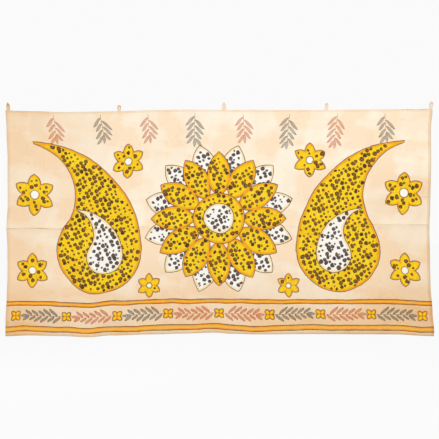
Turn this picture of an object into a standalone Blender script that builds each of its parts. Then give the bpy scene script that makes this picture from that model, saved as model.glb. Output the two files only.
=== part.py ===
"""A painted cotton wall hanging: one hemmed cloth with five small loops along its top edge.

Metres, +Z up. The painted face looks along -Y, and the origin is the middle of the top edge.
"""

import math
from collections import namedtuple

import bmesh
import bpy
from mathutils import Matrix, Vector

# The cloth is one loom width of plain cotton, hemmed on all four sides.
CLOTH_WIDTH = 2.12
CLOTH_DROP = 1.122
CLOTH_THICKNESS = 0.0015
CLOTH_COLUMNS = 52
CLOTH_ROWS = 24

# Each edge strays from its straight line as the cloth hangs. A row gives a place along the edge,
# from the middle on the top and bottom and from the top on the sides, and how far the edge
# stands out from the cloth's middle there.
EdgePoint = namedtuple("EdgePoint", "along out")

TOP_EDGE = (
    EdgePoint(along=-1.06, out=-0.002),
    EdgePoint(along=-0.97, out=-0.005),
    EdgePoint(along=-0.77, out=-0.010),
    EdgePoint(along=-0.53, out=-0.007),
    EdgePoint(along=-0.30, out=0.000),
    EdgePoint(along=-0.17, out=0.002),
    EdgePoint(along=0.00, out=0.000),
    EdgePoint(along=0.43, out=0.000),
    EdgePoint(along=0.80, out=0.003),
    EdgePoint(along=1.06, out=0.005),
)
BOTTOM_EDGE = (
    EdgePoint(along=-1.06, out=0.009),
    EdgePoint(along=-0.95, out=0.005),
    EdgePoint(along=-0.78, out=0.008),
    EdgePoint(along=-0.65, out=0.014),
    EdgePoint(along=-0.54, out=0.005),
    EdgePoint(along=-0.33, out=0.000),
    EdgePoint(along=-0.17, out=-0.004),
    EdgePoint(along=-0.02, out=-0.009),
    EdgePoint(along=0.07, out=-0.003),
    EdgePoint(along=0.19, out=0.000),
    EdgePoint(along=0.50, out=-0.002),
    EdgePoint(along=0.86, out=0.000),
    EdgePoint(along=1.06, out=0.008),
)
LEFT_EDGE = (
    EdgePoint(along=0.00, out=0.007),
    EdgePoint(along=0.10, out=0.001),
    EdgePoint(along=0.24, out=-0.004),
    EdgePoint(along=0.47, out=-0.005),
    EdgePoint(along=0.58, out=0.001),
    EdgePoint(along=0.70, out=-0.004),
    EdgePoint(along=0.82, out=-0.004),
    EdgePoint(along=0.92, out=0.000),
    EdgePoint(along=1.04, out=0.006),
    EdgePoint(along=1.12, out=0.007),
)
RIGHT_EDGE = (
    EdgePoint(along=0.00, out=0.008),
    EdgePoint(along=0.10, out=0.000),
    EdgePoint(along=0.26, out=0.001),
    EdgePoint(along=0.50, out=-0.004),
    EdgePoint(along=0.58, out=-0.008),
    EdgePoint(along=0.75, out=-0.005),
    EdgePoint(along=0.88, out=-0.002),
    EdgePoint(along=1.00, out=0.007),
    EdgePoint(along=1.10, out=0.015),
    EdgePoint(along=1.12, out=0.013),
)

# The top hem hangs straight between the loops, and the cloth below it billows gently. Each billow
# is a broad swell with its middle, its reach both ways, and its depth away from the viewer.
HEADING_DROP = 0.035
BILLOWS_START_DROP = 0.16
Billow = namedtuple("Billow", "x drop reach_across reach_down depth")
BILLOWS = (
    Billow(x=-0.98, drop=0.62, reach_across=0.13, reach_down=0.50, depth=-0.007),
    Billow(x=-0.72, drop=0.45, reach_across=0.15, reach_down=0.32, depth=0.006),
    Billow(x=-0.50, drop=0.80, reach_across=0.12, reach_down=0.45, depth=-0.008),
    Billow(x=-0.20, drop=0.95, reach_across=0.16, reach_down=0.35, depth=0.007),
    Billow(x=-0.06, drop=0.40, reach_across=0.20, reach_down=0.25, depth=-0.005),
    Billow(x=0.26, drop=0.72, reach_across=0.15, reach_down=0.45, depth=0.005),
    Billow(x=0.54, drop=0.60, reach_across=0.13, reach_down=0.55, depth=-0.008),
    Billow(x=0.82, drop=0.90, reach_across=0.14, reach_down=0.36, depth=0.006),
    Billow(x=1.02, drop=1.10, reach_across=0.10, reach_down=0.25, depth=-0.009),
    Billow(x=0.98, drop=0.42, reach_across=0.12, reach_down=0.20, depth=-0.004),
)

# Once stored folded in half, the cloth keeps a pressed fold right across at half its drop, a soft
# ridge towards the viewer.
FOLD_DROP = 0.578
FOLD_REACH = 0.024
FOLD_DEPTH = -0.0035

# A loop is a narrow tape of the same cotton, bent into a small arch. Its two tails are sewn
# behind the top hem. Rise, lean and twist are those of the arch's tip, and a larger tip value
# draws the arch to a point.
TAPE_WIDTH = 0.006
TAPE_THICKNESS = 0.0016
TAIL_LENGTH = 0.022
SEWN_GAP = 0.0003
LOOP_ROOT_RISE = 0.002
LOOP_CLEAR_RISE = 0.012
ARCH_STEPS = 7
Loop = namedtuple("Loop", "name x rise width neck lean twist tip")
LOOPS = (
    Loop("loop_left_corner", x=-1.053, rise=0.040, width=0.020, neck=0.020, lean=-0.004, twist=-24, tip=1.45),
    Loop("loop_left", x=-0.4985, rise=0.031, width=0.020, neck=0.016, lean=0.000, twist=6, tip=1.0),
    Loop("loop_middle", x=0.0255, rise=0.038, width=0.020, neck=0.018, lean=0.000, twist=26, tip=1.4),
    Loop("loop_right", x=0.5365, rise=0.036, width=0.020, neck=0.018, lean=0.005, twist=-18, tip=1.2),
    Loop("loop_right_corner", x=1.059, rise=0.036, width=0.020, neck=0.018, lean=0.005, twist=10, tip=1.1),
)

# Finishes: colour, roughness and metallic value.
COTTON_FINISH = ((0.90, 0.76, 0.57, 1.0), 0.9, 0.0)
TAPE_FINISH = ((0.72, 0.53, 0.35, 1.0), 0.9, 0.0)


def clear_scene():
    """Remove whatever the scene holds."""
    for old in list(bpy.data.objects):
        bpy.data.objects.remove(old, do_unlink=True)


def ease(share):
    """Ease a share from 0 to 1 in and out."""
    share = min(max(share, 0.0), 1.0)
    return share * share * (3.0 - 2.0 * share)


def edge_offset(edge, along):
    """Return how far an edge stands out at a place along it."""
    if along <= edge[0].along:
        return edge[0].out
    for before, after in zip(edge, edge[1:]):
        if along <= after.along:
            share = ease((along - before.along) / (after.along - before.along))
            return before.out + (after.out - before.out) * share
    return edge[-1].out


def billow_depth(x, drop):
    """Return the cloth's depth from its billows and its pressed fold."""
    depth = 0.0
    for billow in BILLOWS:
        across = (x - billow.x) / billow.reach_across
        down = (drop - billow.drop) / billow.reach_down
        depth += billow.depth * math.exp(-across * across - down * down)
    slack = ease((drop - HEADING_DROP) / (BILLOWS_START_DROP - HEADING_DROP))
    fold = max(0.0, 1.0 - abs(drop - FOLD_DROP) / FOLD_REACH)
    return slack * depth + FOLD_DEPTH * fold


def hung_place(x, drop):
    """Return where a point of the flat cloth hangs."""
    side = LEFT_EDGE if x < 0 else RIGHT_EDGE
    outwards = x / (CLOTH_WIDTH / 2)
    hung_x = x + outwards * edge_offset(side, drop)
    share = drop / CLOTH_DROP
    top = edge_offset(TOP_EDGE, x)
    bottom = -CLOTH_DROP - edge_offset(BOTTOM_EDGE, x)
    hung_z = top + (bottom - top) * share
    return Vector((hung_x, billow_depth(x, drop), hung_z))


def principled_material(name, finish):
    """Return a Principled material with a colour, roughness and metallic value."""
    colour, roughness, metallic = finish
    material = bpy.data.materials.new(name)
    material.use_nodes = True
    shader = material.node_tree.nodes["Principled BSDF"]
    shader.inputs["Base Color"].default_value = colour
    shader.inputs["Roughness"].default_value = roughness
    shader.inputs["Metallic"].default_value = metallic
    material.diffuse_color = colour
    return material


def add_sheet(bm, name, thickness, finish, collection):
    """Make an object of an open sheet, with its material and its thickness."""
    mesh = bpy.data.meshes.new(name)
    bm.to_mesh(mesh)
    bm.free()
    mesh.shade_smooth()
    mesh.materials.append(principled_material(name + "_finish", finish))
    sheet = bpy.data.objects.new(name, mesh)
    collection.objects.link(sheet)
    thicken = sheet.modifiers.new("cloth thickness", "SOLIDIFY")
    thicken.thickness = thickness
    thicken.offset = 0.0
    thicken.use_even_offset = True
    return sheet


def add_cloth(collection):
    """Hang the hemmed cloth: a flat grid, crossed by the fold's lines, then billowed."""
    bm = bmesh.new()
    bmesh.ops.create_grid(bm, x_segments=CLOTH_COLUMNS, y_segments=CLOTH_ROWS, size=0.5)
    bmesh.ops.scale(bm, vec=(CLOTH_WIDTH, CLOTH_DROP, 1.0), verts=bm.verts)
    bmesh.ops.rotate(bm, matrix=Matrix.Rotation(math.radians(90), 3, "X"), verts=bm.verts)
    bmesh.ops.translate(bm, vec=(0.0, 0.0, -CLOTH_DROP / 2), verts=bm.verts)
    for drop in (FOLD_DROP - FOLD_REACH, FOLD_DROP, FOLD_DROP + FOLD_REACH):
        everything = bm.verts[:] + bm.edges[:] + bm.faces[:]
        bmesh.ops.bisect_plane(
            bm, geom=everything, dist=0.0001, plane_co=(0.0, 0.0, -drop), plane_no=(0.0, 0.0, 1.0)
        )
    for vert in bm.verts:
        vert.co = hung_place(vert.co.x, -vert.co.z)
    return add_sheet(bm, "cloth", CLOTH_THICKNESS, COTTON_FINISH, collection)


def loop_stations(loop):
    """Return the right half of a loop, from its tail to its tip.

    A station is the tape's inner and outer edge, each a distance from the loop's middle line
    and a height over the cloth's edge.
    """
    half_width = loop.width / 2
    half_neck = loop.neck / 2
    arch_height = loop.width * (loop.tip - 0.5)
    arch_base = loop.rise - arch_height
    leg_heights = [-TAIL_LENGTH, -TAIL_LENGTH / 2, 0.0, LOOP_ROOT_RISE]
    free_leg = arch_base - LOOP_ROOT_RISE
    leg_heights += [LOOP_ROOT_RISE + free_leg * share for share in (0.35, 0.7)]
    stations = []
    for height in leg_heights:
        outer = half_neck + (half_width - half_neck) * ease(height / arch_base)
        stations.append(((outer - TAPE_WIDTH, height), (outer, height)))
    for step in range(ARCH_STEPS + 1):
        angle = math.pi / 2 * step / ARCH_STEPS
        across = max(math.cos(angle), 0.0) ** loop.tip
        upwards = math.sin(angle) ** loop.tip
        inner = ((half_width - TAPE_WIDTH) * across, arch_base + (arch_height - TAPE_WIDTH) * upwards)
        outer = (half_width * across, arch_base + arch_height * upwards)
        stations.append((inner, outer))
    return stations


def tape_place(loop, across, height):
    """Return where a point of a loop lies, with the loop's lean and twist."""
    share = max(height, 0.0) / loop.rise
    turn = math.radians(loop.twist) * ease(share)
    behind = CLOTH_THICKNESS / 2 + SEWN_GAP + TAPE_THICKNESS / 2
    forward = ease((height - LOOP_ROOT_RISE) / (LOOP_CLEAR_RISE - LOOP_ROOT_RISE))
    x = loop.x + loop.lean * share * share + across * math.cos(turn)
    y = behind * (1.0 - forward) + across * math.sin(turn)
    z = edge_offset(TOP_EDGE, loop.x) + height
    return Vector((x, y, z))


def add_loop(loop, collection):
    """Bend one tape into its loop: a strip of faces laid along both halves of the arch."""
    right_half = loop_stations(loop)
    tape = [(-1, station) for station in right_half]
    tape += [(1, station) for station in reversed(right_half[:-1])]
    bm = bmesh.new()
    bmesh.ops.create_grid(bm, x_segments=len(tape) - 1, y_segments=1, size=0.5)
    for vert in bm.verts:
        side, station = tape[round((vert.co.x + 0.5) * (len(tape) - 1))]
        across, height = station[1] if vert.co.y > 0 else station[0]
        vert.co = tape_place(loop, side * across, height)
    return add_sheet(bm, loop.name, TAPE_THICKNESS, TAPE_FINISH, collection)


clear_scene()
hanging = bpy.data.collections.new("wall_hanging")
bpy.context.scene.collection.children.link(hanging)
add_cloth(hanging)
for hanging_loop in LOOPS:
    add_loop(hanging_loop, hanging)
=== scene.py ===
import math
from collections import namedtuple

import bmesh
import bpy
from mathutils import Matrix, Vector, noise


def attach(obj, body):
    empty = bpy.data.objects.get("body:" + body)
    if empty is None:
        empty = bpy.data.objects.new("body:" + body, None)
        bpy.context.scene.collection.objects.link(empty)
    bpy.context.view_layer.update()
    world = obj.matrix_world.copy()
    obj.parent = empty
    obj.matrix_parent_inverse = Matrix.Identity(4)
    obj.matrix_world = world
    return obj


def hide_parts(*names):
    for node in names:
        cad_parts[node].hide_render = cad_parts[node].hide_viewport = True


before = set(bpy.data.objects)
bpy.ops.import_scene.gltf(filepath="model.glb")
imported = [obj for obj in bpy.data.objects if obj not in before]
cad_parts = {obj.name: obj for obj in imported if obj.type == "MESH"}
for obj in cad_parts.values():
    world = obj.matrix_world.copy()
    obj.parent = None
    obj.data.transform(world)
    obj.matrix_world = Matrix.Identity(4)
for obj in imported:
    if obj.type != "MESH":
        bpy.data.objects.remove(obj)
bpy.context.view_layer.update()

# The studio: a pale floor well below the hanging, broad soft light from the front, and a long
# lens square to the cloth, as the photograph was taken. The hanging's middle column and its top
# edge are read in the photograph's own pixels.
METRES_PER_PIXEL = 0.005
PHOTO_MIDDLE = 219.5
HANGING_MIDDLE_COLUMN = 218.9
TOP_EDGE_ROW = 110.0
PHOTO_SIDE = 439
CAMERA_DISTANCE = 6.5
SENSOR_WIDTH = 36.0
FLOOR_HEIGHT = -1.75
FLOOR_RADIUS = 60.0

camera_data = bpy.data.cameras.new("camera")
camera_data.sensor_width = SENSOR_WIDTH
camera_data.lens = SENSOR_WIDTH * CAMERA_DISTANCE / (PHOTO_SIDE * METRES_PER_PIXEL)
camera = bpy.data.objects.new("camera", camera_data)
camera.location = (
    (PHOTO_MIDDLE - HANGING_MIDDLE_COLUMN) * METRES_PER_PIXEL,
    -CAMERA_DISTANCE,
    -(PHOTO_MIDDLE - TOP_EDGE_ROW) * METRES_PER_PIXEL,
)
camera.rotation_euler = (math.radians(90), 0.0, 0.0)
bpy.context.scene.collection.objects.link(camera)
bpy.context.scene.camera = camera
bpy.context.scene.view_settings.view_transform = "Standard"


def add_soft_light(name, place, side, power):
    """Add a square area light that faces the middle of the cloth."""
    data = bpy.data.lights.new(name, "AREA")
    data.shape = "SQUARE"
    data.size = side
    data.energy = power
    light = bpy.data.objects.new(name, data)
    light.location = place
    aim = Vector((0.0, 0.0, -0.55)) - light.location
    light.rotation_euler = aim.to_track_quat("-Z", "Y").to_euler()
    bpy.context.scene.collection.objects.link(light)


add_soft_light("key_light", (2.2, -4.2, 2.4), side=1.0, power=138.0)
add_soft_light("fill_light", (-3.2, -4.8, -0.9), side=2.5, power=106.0)
add_soft_light("back_light", (-2.2, 4.0, 2.6), side=1.5, power=220.0)

world = bpy.data.worlds.new("studio")
world.use_nodes = True
bpy.context.scene.world = world
world_nodes = world.node_tree.nodes
room_light = world_nodes["Background"]
room_light.inputs["Color"].default_value = (1.0, 1.0, 1.0, 1.0)
room_light.inputs["Strength"].default_value = 0.43
seen_paper = world_nodes.new("ShaderNodeBackground")
seen_paper.inputs["Color"].default_value = (0.957, 0.957, 0.957, 1.0)
light_path = world_nodes.new("ShaderNodeLightPath")
choose = world_nodes.new("ShaderNodeMixShader")
world.node_tree.links.new(light_path.outputs["Is Camera Ray"], choose.inputs["Fac"])
world.node_tree.links.new(room_light.outputs["Background"], choose.inputs[1])
world.node_tree.links.new(seen_paper.outputs["Background"], choose.inputs[2])
world.node_tree.links.new(choose.outputs["Shader"], world_nodes["World Output"].inputs["Surface"])

floor_shape = bmesh.new()
bmesh.ops.create_circle(floor_shape, cap_ends=True, segments=96, radius=FLOOR_RADIUS)
bmesh.ops.translate(floor_shape, vec=(0.0, 0.0, FLOOR_HEIGHT), verts=floor_shape.verts)
floor_mesh = bpy.data.meshes.new("floor")
floor_shape.to_mesh(floor_mesh)
floor_shape.free()
floor_paper = bpy.data.materials.new("floor_paper")
floor_paper.use_nodes = True
floor_nodes = floor_paper.node_tree.nodes
floor_shader = floor_nodes["Principled BSDF"]
floor_shader.inputs["Base Color"].default_value = (0.55, 0.55, 0.55, 1.0)
floor_shader.inputs["Roughness"].default_value = 1.0
floor_shader.inputs["Specular IOR Level"].default_value = 0.0
floor_glow = floor_nodes.new("ShaderNodeEmission")
floor_glow.inputs["Color"].default_value = (0.995, 0.995, 0.995, 1.0)
floor_path = floor_nodes.new("ShaderNodeLightPath")
floor_share = floor_nodes.new("ShaderNodeMath")
floor_share.operation = "MULTIPLY"
floor_share.inputs[1].default_value = 0.93
floor_mix = floor_nodes.new("ShaderNodeMixShader")
floor_paper.node_tree.links.new(floor_path.outputs["Is Camera Ray"], floor_share.inputs[0])
floor_paper.node_tree.links.new(floor_share.outputs[0], floor_mix.inputs["Fac"])
floor_paper.node_tree.links.new(floor_shader.outputs["BSDF"], floor_mix.inputs[1])
floor_paper.node_tree.links.new(floor_glow.outputs["Emission"], floor_mix.inputs[2])
floor_paper.node_tree.links.new(floor_mix.outputs["Shader"], floor_nodes["Material Output"].inputs["Surface"])
floor_mesh.materials.append(floor_paper)
floor = bpy.data.objects.new("floor", floor_mesh)
bpy.context.scene.collection.objects.link(floor)

# The cloth: one loom width of plain cotton, hemmed on all four sides, hung from its top edge. It
# strays from a true rectangle, billows a little, and keeps the folds and creases it was stored in.
CLOTH_WIDTH = 2.12
CLOTH_DROP = 1.122
CLOTH_COLUMNS = 252
CLOTH_ROWS = 132
FRONT_OFFSET = 0.0006
BACK_OFFSET = 0.0005
HEM_EXTRA = 0.0006
SIDE_HEM = 0.014
TOP_HEM = 0.011
BOTTOM_HEM = 0.012
HEM_TURN = 0.0015

EdgePoint = namedtuple("EdgePoint", "along out")
TOP_EDGE = (
    EdgePoint(along=-1.06, out=-0.002),
    EdgePoint(along=-0.97, out=-0.005),
    EdgePoint(along=-0.77, out=-0.010),
    EdgePoint(along=-0.53, out=-0.007),
    EdgePoint(along=-0.30, out=0.000),
    EdgePoint(along=-0.17, out=0.002),
    EdgePoint(along=0.00, out=0.000),
    EdgePoint(along=0.43, out=0.000),
    EdgePoint(along=0.80, out=0.003),
    EdgePoint(along=1.06, out=0.005),
)
BOTTOM_EDGE = (
    EdgePoint(along=-1.06, out=0.009),
    EdgePoint(along=-0.95, out=0.005),
    EdgePoint(along=-0.78, out=0.008),
    EdgePoint(along=-0.65, out=0.014),
    EdgePoint(along=-0.54, out=0.005),
    EdgePoint(along=-0.33, out=0.000),
    EdgePoint(along=-0.17, out=-0.004),
    EdgePoint(along=-0.02, out=-0.009),
    EdgePoint(along=0.07, out=-0.003),
    EdgePoint(along=0.19, out=0.000),
    EdgePoint(along=0.50, out=-0.002),
    EdgePoint(along=0.86, out=0.000),
    EdgePoint(along=1.06, out=0.008),
)
LEFT_EDGE = (
    EdgePoint(along=0.00, out=0.007),
    EdgePoint(along=0.10, out=0.001),
    EdgePoint(along=0.24, out=-0.004),
    EdgePoint(along=0.47, out=-0.005),
    EdgePoint(along=0.58, out=0.001),
    EdgePoint(along=0.70, out=-0.004),
    EdgePoint(along=0.82, out=-0.004),
    EdgePoint(along=0.92, out=0.000),
    EdgePoint(along=1.04, out=0.006),
    EdgePoint(along=1.12, out=0.007),
)
RIGHT_EDGE = (
    EdgePoint(along=0.00, out=0.008),
    EdgePoint(along=0.10, out=0.000),
    EdgePoint(along=0.26, out=0.001),
    EdgePoint(along=0.50, out=-0.004),
    EdgePoint(along=0.58, out=-0.008),
    EdgePoint(along=0.75, out=-0.005),
    EdgePoint(along=0.88, out=-0.002),
    EdgePoint(along=1.00, out=0.007),
    EdgePoint(along=1.10, out=0.015),
    EdgePoint(along=1.12, out=0.013),
)

# Broad swells of the hung cloth, as on its solid: each has its middle, its reach both ways, and
# its depth away from the viewer. The stiff top hem stays straight.
HEADING_DROP = 0.035
BILLOWS_START_DROP = 0.16
Billow = namedtuple("Billow", "x drop reach_across reach_down depth")
BILLOWS = (
    Billow(x=-0.98, drop=0.62, reach_across=0.13, reach_down=0.50, depth=-0.007),
    Billow(x=-0.72, drop=0.45, reach_across=0.15, reach_down=0.32, depth=0.006),
    Billow(x=-0.50, drop=0.80, reach_across=0.12, reach_down=0.45, depth=-0.008),
    Billow(x=-0.20, drop=0.95, reach_across=0.16, reach_down=0.35, depth=0.007),
    Billow(x=-0.06, drop=0.40, reach_across=0.20, reach_down=0.25, depth=-0.005),
    Billow(x=0.26, drop=0.72, reach_across=0.15, reach_down=0.45, depth=0.005),
    Billow(x=0.54, drop=0.60, reach_across=0.13, reach_down=0.55, depth=-0.008),
    Billow(x=0.82, drop=0.90, reach_across=0.14, reach_down=0.36, depth=0.006),
    Billow(x=1.02, drop=1.10, reach_across=0.10, reach_down=0.25, depth=-0.009),
    Billow(x=0.98, drop=0.42, reach_across=0.12, reach_down=0.20, depth=-0.004),
)
FOLD_DROP = 0.580
FOLD_TILT = -0.0078
FOLD_REACH = 0.024
FOLD_DEPTH = -0.0035

# Lesser creases, as soft ridges and troughs: each runs between two places on the cloth, with its
# reach to each side and its depth away from the viewer.
Crease = namedtuple("Crease", "x_from drop_from x_to drop_to reach depth")
CREASES = (
    Crease(x_from=-1.06, drop_from=0.588, x_to=-0.52, drop_to=0.584, reach=0.007, depth=-0.0016),
    Crease(x_from=-0.52, drop_from=0.584, x_to=0.10, drop_to=0.579, reach=0.007, depth=-0.0008),
    Crease(x_from=0.80, drop_from=0.574, x_to=1.06, drop_to=0.572, reach=0.007, depth=-0.0012),
    Crease(x_from=0.84, drop_from=0.436, x_to=1.05, drop_to=0.434, reach=0.008, depth=-0.0016),
    Crease(x_from=-0.88, drop_from=0.16, x_to=-0.875, drop_to=0.43, reach=0.009, depth=-0.0012),
    Crease(x_from=-1.03, drop_from=0.60, x_to=-0.86, drop_to=0.655, reach=0.010, depth=0.0012),
    Crease(x_from=-1.04, drop_from=0.05, x_to=-0.90, drop_to=0.19, reach=0.016, depth=-0.0016),
    Crease(x_from=-0.49, drop_from=0.02, x_to=-0.43, drop_to=0.17, reach=0.016, depth=-0.0012),
    Crease(x_from=0.03, drop_from=0.02, x_to=0.00, drop_to=0.16, reach=0.016, depth=-0.0012),
    Crease(x_from=0.54, drop_from=0.02, x_to=0.59, drop_to=0.15, reach=0.016, depth=-0.0012),
    Crease(x_from=1.04, drop_from=0.04, x_to=0.93, drop_to=0.16, reach=0.016, depth=-0.0014),
    Crease(x_from=0.86, drop_from=0.95, x_to=1.04, drop_to=1.09, reach=0.020, depth=-0.0020),
    Crease(x_from=-0.84, drop_from=0.98, x_to=-1.04, drop_to=1.08, reach=0.020, depth=-0.0016),
)


def ease(share):
    """Ease a share from 0 to 1 in and out."""
    share = min(max(share, 0.0), 1.0)
    return share * share * (3.0 - 2.0 * share)


def edge_offset(edge, along):
    """Return how far an edge stands out at a place along it."""
    if along <= edge[0].along:
        return edge[0].out
    for before, after in zip(edge, edge[1:]):
        if along <= after.along:
            share = ease((along - before.along) / (after.along - before.along))
            return before.out + (after.out - before.out) * share
    return edge[-1].out


def crease_depth(crease, x, drop):
    """Return the depth that one crease gives a point of the cloth."""
    run = Vector((crease.x_to - crease.x_from, crease.drop_to - crease.drop_from))
    offset = Vector((x - crease.x_from, drop - crease.drop_from))
    along = offset.dot(run) / run.length_squared
    if not -0.2 < along < 1.2:
        return 0.0
    away = (offset - run * along).length / crease.reach
    fade = ease(along / 0.15 + 0.5) * ease((1.0 - along) / 0.15 + 0.5)
    return crease.depth * fade * math.exp(-away * away)


def cloth_depth(x, drop):
    """Return the cloth's depth from its billows, its pressed fold and its creases."""
    billows = 0.0
    for billow in BILLOWS:
        across = (x - billow.x) / billow.reach_across
        down = (drop - billow.drop) / billow.reach_down
        billows += billow.depth * math.exp(-across * across - down * down)
    slack = ease((drop - HEADING_DROP) / (BILLOWS_START_DROP - HEADING_DROP))
    fold = max(0.0, 1.0 - abs(drop - FOLD_DROP - FOLD_TILT * x) / FOLD_REACH)
    creases = sum(crease_depth(crease, x, drop) for crease in CREASES)
    ripple = 0.0006 * noise.noise(Vector((x * 9.0, drop * 9.0, 1.0)))
    return slack * (billows + ripple) + creases * ease(drop / 0.03) + FOLD_DEPTH * fold


def hang(bm):
    """Move every point of a flat shape to where it hangs: x across, z down, y through the cloth."""
    for vert in bm.verts:
        x, thickness, drop = vert.co.x, vert.co.y, -vert.co.z
        side = LEFT_EDGE if x < 0 else RIGHT_EDGE
        hung_x = x + x / (CLOTH_WIDTH / 2) * edge_offset(side, drop)
        top = edge_offset(TOP_EDGE, x)
        bottom = -CLOTH_DROP - edge_offset(BOTTOM_EDGE, x)
        hung_z = top + (bottom - top) * drop / CLOTH_DROP
        vert.co = (hung_x, cloth_depth(x, drop) + thickness, hung_z)


def hem_share(x, drop):
    """Return 1 on a hem, 0 on the open cloth, and a soft step between them."""
    inside_side = CLOTH_WIDTH / 2 - SIDE_HEM - abs(x)
    inside_top = drop - TOP_HEM
    inside_bottom = CLOTH_DROP - BOTTOM_HEM - drop
    return 1.0 - ease(min(inside_side, inside_top, inside_bottom) / HEM_TURN + 0.5)


cloth_shape = bmesh.new()
bmesh.ops.create_grid(cloth_shape, x_segments=CLOTH_COLUMNS, y_segments=CLOTH_ROWS, size=0.5)
bmesh.ops.scale(cloth_shape, vec=(CLOTH_WIDTH, CLOTH_DROP, 1.0), verts=cloth_shape.verts)
bmesh.ops.rotate(cloth_shape, matrix=Matrix.Rotation(math.radians(90), 3, "X"), verts=cloth_shape.verts)
bmesh.ops.translate(cloth_shape, vec=(0.0, 0.0, -CLOTH_DROP / 2), verts=cloth_shape.verts)
side_line = CLOTH_WIDTH / 2 - SIDE_HEM
line_places = [((sign * (side_line + step), 0, 0), (1, 0, 0)) for sign in (-1, 1) for step in (0, HEM_TURN)]
line_places += [((0, 0, -(TOP_HEM + step)), (0, 0, 1)) for step in (0, -HEM_TURN)]
line_places += [((0, 0, -(CLOTH_DROP - BOTTOM_HEM + step)), (0, 0, 1)) for step in (0, HEM_TURN)]
line_places += [((0, 0, -(FOLD_DROP + step)), (FOLD_TILT, 0, 1)) for step in (-0.0035, 0, 0.0035)]
for place, direction in line_places:
    everything = cloth_shape.verts[:] + cloth_shape.edges[:] + cloth_shape.faces[:]
    bmesh.ops.bisect_plane(cloth_shape, geom=everything, dist=0.0001, plane_co=place, plane_no=direction)
bmesh.ops.solidify(cloth_shape, geom=cloth_shape.faces[:], thickness=BACK_OFFSET)
flat_place = cloth_shape.verts.layers.float_vector.new("flat_place")
for vert in cloth_shape.verts:
    behind = abs(vert.co.y) > BACK_OFFSET / 2
    vert[flat_place] = (vert.co.x, -vert.co.z, float(behind))
    extra = HEM_EXTRA * hem_share(vert.co.x, -vert.co.z)
    vert.co.y = BACK_OFFSET + extra if behind else -FRONT_OFFSET
bake_map = cloth_shape.loops.layers.uv.new("OFBake")
CHART_MARGIN = 0.006
RIM_FLANGE = 0.003
for face in cloth_shape.faces:
    layers = {round(vert[flat_place].z) for vert in face.verts}
    chart_top = 0.5 if layers == {1} else 1.0
    for corner in face.loops:
        x, drop, behind = corner.vert[flat_place]
        u = CHART_MARGIN + (1.0 - 2.0 * CHART_MARGIN) * (x / CLOTH_WIDTH + 0.5)
        v = chart_top - CHART_MARGIN - (0.5 - 2.0 * CHART_MARGIN) * drop / CLOTH_DROP
        if len(layers) == 2 and behind > 0.5:
            middle = face.calc_center_median()
            if abs(middle.x) > CLOTH_WIDTH / 2 - 0.0001:
                u += math.copysign(RIM_FLANGE, x)
            else:
                v -= math.copysign(RIM_FLANGE, drop - CLOTH_DROP / 2)
        corner[bake_map].uv = (u, v)
for face in cloth_shape.faces:
    face.material_index = int(all(vert[flat_place].z > 0.5 for vert in face.verts))
hang(cloth_shape)
cloth_mesh = bpy.data.meshes.new("painted_cloth")
cloth_shape.to_mesh(cloth_mesh)
cloth_shape.free()
cloth_mesh.shade_smooth()
cloth = bpy.data.objects.new("painted_cloth", cloth_mesh)
bpy.context.scene.collection.objects.link(cloth)


def dye(red, green, blue):
    """Return the linear colour of a dye given as it looks, each part from 0 to 255."""
    parts = [((part / 255.0 + 0.055) / 1.055) ** 2.4 for part in (red, green, blue)]
    return (*parts, 1.0)


CREAM_COTTON = dye(254, 242, 221)
PEACH_WASH = dye(253, 228, 196)
TAN_WASH = dye(233, 185, 126)
PALE_GOLD_PAINT = dye(254, 222, 62)
GOLD_PAINT = dye(250, 208, 20)
DEEP_GOLD_PAINT = dye(245, 196, 16)
ORANGE_PAINT = dye(240, 150, 30)
LIGHT_ORANGE = dye(246, 186, 84)
WHITE_PAINT = dye(252, 248, 240)
DARK_DAB = dye(68, 42, 34)
BROWN_DAB = dye(138, 86, 42)
GREY_DAB = dye(84, 72, 62)
OUTLINE_BROWN = dye(74, 52, 38)
RUST_TWIG = dye(198, 104, 54)
GREY_TWIG = dye(96, 92, 86)
SOIL_AND_SHADE_TINT = dye(210, 178, 116)


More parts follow.
